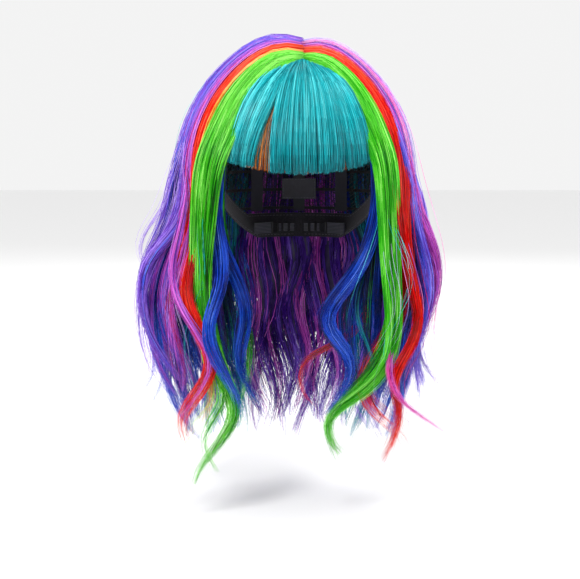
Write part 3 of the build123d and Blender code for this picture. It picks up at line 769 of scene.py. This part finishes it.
def cloth_material(name, dark, light, scale, roughness=0.85, ribs=None, rib_scale=900.0, bump=0.25, sheen=0.3):
    """A woven or napped cloth: colour that varies, and ribs or fuzz in its surface. ribs is the axis they cross."""
    material, shader, add, link = new_material(name)
    shader.inputs["Sheen Weight"].default_value = sheen
    shader.inputs["Sheen Roughness"].default_value = 0.45
    where = add("TexCoord")
    noise = add("TexNoise", {"Scale": scale, "Detail": 6.0})
    link(where.outputs["Object"], noise.inputs["Vector"])
    height = noise.outputs["Fac"]
    if ribs is not None:
        wave = add("TexWave", {"Scale": rib_scale, "Distortion": 0.6, "Detail": 1.0}, bands_direction=ribs)
        link(where.outputs["Object"], wave.inputs["Vector"])
        both = add("Math", {1: FUZZ}, operation="MULTIPLY_ADD")
        link(noise.outputs["Fac"], both.inputs[0])
        link(wave.outputs["Fac"], both.inputs[2])
        mean = add("Math", {1: 1 / (1 + FUZZ)}, operation="MULTIPLY")
        link(both.outputs["Value"], mean.inputs[0])
        height = mean.outputs["Value"]
    ramp = add("ValToRGB")
    for end, place, colour in zip(ramp.color_ramp.elements, (0.3, 0.75), (dark, light)):
        end.position, end.color = place, linear(colour)
    rough = add("MapRange", {"To Min": roughness - 0.1, "To Max": min(roughness + 0.1, 1)})
    relief = add("Bump", {"Strength": bump, "Distance": 0.0004})
    for node, socket, result, target in ((ramp, "Fac", "Color", "Base Color"), (rough, "Value", "Result", "Roughness"),
                                         (relief, "Height", "Normal", "Normal")):
        link(height, node.inputs[socket])
        link(node.outputs[result], shader.inputs[target])
    return material


# The cloth of the CAD nodes whose names start like this.
CLOTHS = {
    ("front_band", "nape_band", "ear_tab"):
        cloth_material("velvet_band", "141217", "3C3944", 700, 0.92, sheen=0.7, bump=0.5),
    "ribbon": cloth_material("ribbed_ribbon", "18181E", "4C4C58", 500, 0.7, ribs="Z", rib_scale=420),
    ("adjuster_strap", "adjuster_loops"):
        cloth_material("ribbed_elastic", "16161A", "50505C", 500, 0.75, ribs="Z", rib_scale=260, bump=0.6),
    ("weft_track", "fringe_track"):
        cloth_material("weft_tape", "101014", "34343E", 600, 0.8, ribs="Z", rib_scale=700, bump=0.5),
    "parting_panel": cloth_material("parting_lace", "A88C74", "D8BEA4", 900, 0.8, ribs="DIAGONAL", rib_scale=600),
    "care_label": cloth_material("blank_label", "34343A", "6A6A72", 300, 0.5, ribs="X", rib_scale=800, bump=0.3,
                                 sheen=0.1),
    "adjuster_hook": cloth_material("moulded_plastic", "0A0A0B", "1C1C20", 250, 0.42, bump=0.1, sheen=0.0),
}
THREAD = cloth_material("net_thread", "0A0A0C", "30303A", 900, 0.75, bump=0.2, sheen=0.2)
STITCH = cloth_material("stitch_thread", "5A5A66", "9A9AA6", 900, 0.6, bump=0.2, sheen=0.1)
for name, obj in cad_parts.items():
    for starts, cloth in CLOTHS.items():
        if name.startswith(starts):
            for slot in obj.material_slots:
                slot.material = cloth


def thread_mesh(name, runs, radius, material, body):
    """Makes thin tubes along runs of points, all of the same number, and puts them on a body as one piece."""
    points = np.array(runs)
    radii = np.full(points.shape[:2], radius)
    add_tubes(name, points, radii, lambda tone: material, 0, centre=HEAD_CENTRE, lowest=-np.inf)
    threads = piece_mesh(name)
    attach(threads, body)
    return threads


def inside_outline(y, z, outline):
    """Which points lie inside a closed outline in the side view."""
    inside = np.zeros(np.shape(y), bool)
    for (y0, z0), (y1, z1) in zip(outline, outline[1:] + outline[:1]):
        if z0 != z1:
            inside ^= ((z0 > z) != (z1 > z)) & (y < (y1 - y0) * (z - z0) / (z1 - z0) + y0)
    return inside


# The net's threads lie where evenly spaced planes in four directions cut the cap's ellipsoid, inside this outline.
NET_OUTLINE = [(-120, 64), (-62, 52), (-44, 30), (-29, 14), (-6, 10), (28, 10), (46, -12), (61, -34), (120, -34),
               (120, 136), (-120, 136)]
NET_PITCH, NET_GROWTH, NET_SAMPLES = 3.4, 0.4, 44


def net_runs():
    """The net's threads as runs of points."""
    half = HEAD_HALF + NET_GROWTH
    turn = np.linspace(0, 2 * pi, 361)[:, None]
    runs = []
    for direction in ((1, 0, 1), (1, 0, -1), (0, 1, 1), (0, 1, -1)):
        scaled = np.array(direction) / np.sqrt(2) * half
        reach = np.linalg.norm(scaled)
        axis = scaled / reach
        e1 = unit(np.cross(axis, [0.3, 0.5, 0.8]))
        e2 = np.cross(axis, e1)
        for offset in np.arange(-reach + 2, reach - 2, NET_PITCH):
            m = offset / reach
            line = HEAD_CENTRE + half * (m * axis + np.sqrt(1 - m * m) * (np.cos(turn) * e1 + np.sin(turn) * e2))
            keep = inside_outline(line[:, 1], line[:, 2], NET_OUTLINE)
            if not keep.any():
                continue
            first = 0 if keep.all() else int(np.argmin(keep))
            line, keep = np.roll(line[:-1], -first, axis=0), np.roll(keep[:-1], -first)
            edges = np.flatnonzero(np.diff(np.concatenate([[0], keep.astype(int), [0]])))
            for a, b in zip(edges[::2], edges[1::2]):
                if b - a > 3:
                    runs.append(between(line[None], np.linspace(a, b - 1, NET_SAMPLES)[None])[0])
    return runs


net = thread_mesh("net_threads", net_runs(), 0.22, THREAD, "cap")
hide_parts("crown_net")

STITCH_GROWTH = -1.25  # the bands' stitches lie this far inside the head's ellipsoid


def stitches_along(outline, signs, spacing=3.2, length=1.9):
    """Short stitches along a line in the side view, on each of these sides, as runs of four points."""
    half = HEAD_HALF + STITCH_GROWTH
    line = np.array(outline, float)
    place = np.concatenate([[0], np.cumsum(np.linalg.norm(np.diff(line, axis=0), axis=1))])
    fine = np.linspace(0, place[-1], int(place[-1] * 8))
    y, z = np.interp(fine, place, line[:, 0]), np.interp(fine, place, line[:, 1])
    left = 1 - ((y - HEAD_CENTRE[1]) / half[1]) ** 2 - ((z - HEAD_CENTRE[2]) / half[2]) ** 2
    runs = []
    for sign in signs:
        path = np.stack([sign * half[0] * np.sqrt(np.maximum(left, 0)), y, z], -1)[left > 0.0004]
        run = np.concatenate([[0], np.cumsum(np.linalg.norm(np.diff(path, axis=0), axis=1))])
        for start in np.arange(1, run[-1] - length, spacing):
            at = np.linspace(start, start + length, 4)
            runs.append(np.stack([np.interp(at, run, path[:, c]) for c in range(3)], -1))
    return runs


BAND_SEAMS = [[(-6, 20), (35, 20), (52, 1), (67, -18), (101.5, -18)],
              [(-6, 10), (29, 10), (45, -12), (61, -34), (92, -34)],
              [(-29, 14), (-43, 30), (-61, 52), (-92, 61)], [(-31, 29), (-41, 46), (-61, 70), (-88, 79)]]
TAB_SEAM = [(-27, 9), (-27, -6), (-23, -12), (-16, -14), (-9.5, -11), (-8, -4), (-8, 9)]
band_stitches = [run for seam in BAND_SEAMS for run in stitches_along(seam, (-1, 1))]
thread_mesh("band_stitches", band_stitches, 0.2, STITCH, "cap")
for side, sign in SIDES.items():
    tab_stitches = stitches_along(TAB_SEAM, (sign,))
    thread_mesh(f"ear_tab_stitches_{side}", tab_stitches, 0.2, STITCH, f"ear_tab_{side}")

LABEL_HALF = HEAD_HALF - 1.85


def label_stitch(x, z):
    """A stitch on the label's face between two places across it and two heights."""
    x, z = np.linspace(*x, 4), np.linspace(*z, 4)
    left = 1 - (x / LABEL_HALF[0]) ** 2 - ((z - HEAD_CENTRE[2]) / LABEL_HALF[2]) ** 2
    return np.stack([x, HEAD_CENTRE[1] + LABEL_HALF[1] * np.sqrt(left), z], -1)


label_stitches = [label_stitch((x, x + 1.6), (z, z)) for z in (-3, 13) for x in np.arange(-14, 13, 2.6)]
label_stitches += [label_stitch((x, x), (z, z + 1.6)) for x in (-14, 14) for z in np.arange(-3, 12, 2.6)]
thread_mesh("label_stitches", label_stitches, 0.18, STITCH, "cap")

# ---------------------------- floor, light and world
scene.view_settings.view_transform = "Standard"
bpy.ops.mesh.primitive_plane_add(size=12, location=(0, 0, cad_box[0][2] - 0.03))
floor = bpy.context.object
floor.name = "floor"
floor_material, shader, _, _ = new_material("pale_floor")
shader.inputs["Base Color"].default_value = (0.9, 0.9, 0.9, 1)
shader.inputs["Roughness"].default_value = 0.7
floor.data.materials.append(floor_material)

world = bpy.data.worlds.new("studio")
world.use_nodes = True
world.node_tree.nodes["Background"].inputs["Color"].default_value = (1, 1, 1, 1)
world.node_tree.nodes["Background"].inputs["Strength"].default_value = 0.9
scene.world = world


def softbox(name, location, size, power):
    light = bpy.data.lights.new(name, "AREA")
    light.shape, light.size, light.energy = "DISK", size, power
    obj = bpy.data.objects.new(name, light)
    obj.location = location
    obj.rotation_euler = (Vector((0, 0, -0.03)) - obj.location).to_track_quat("-Z", "Y").to_euler()
    scene.collection.objects.link(obj)


softbox("key", (-0.55, -1.5, 1.35), 0.7, 34)
softbox("fill", (1.3, -1.2, 0.5), 1.0, 9)
softbox("rim", (0.2, 1.6, 1.2), 0.9, 16)
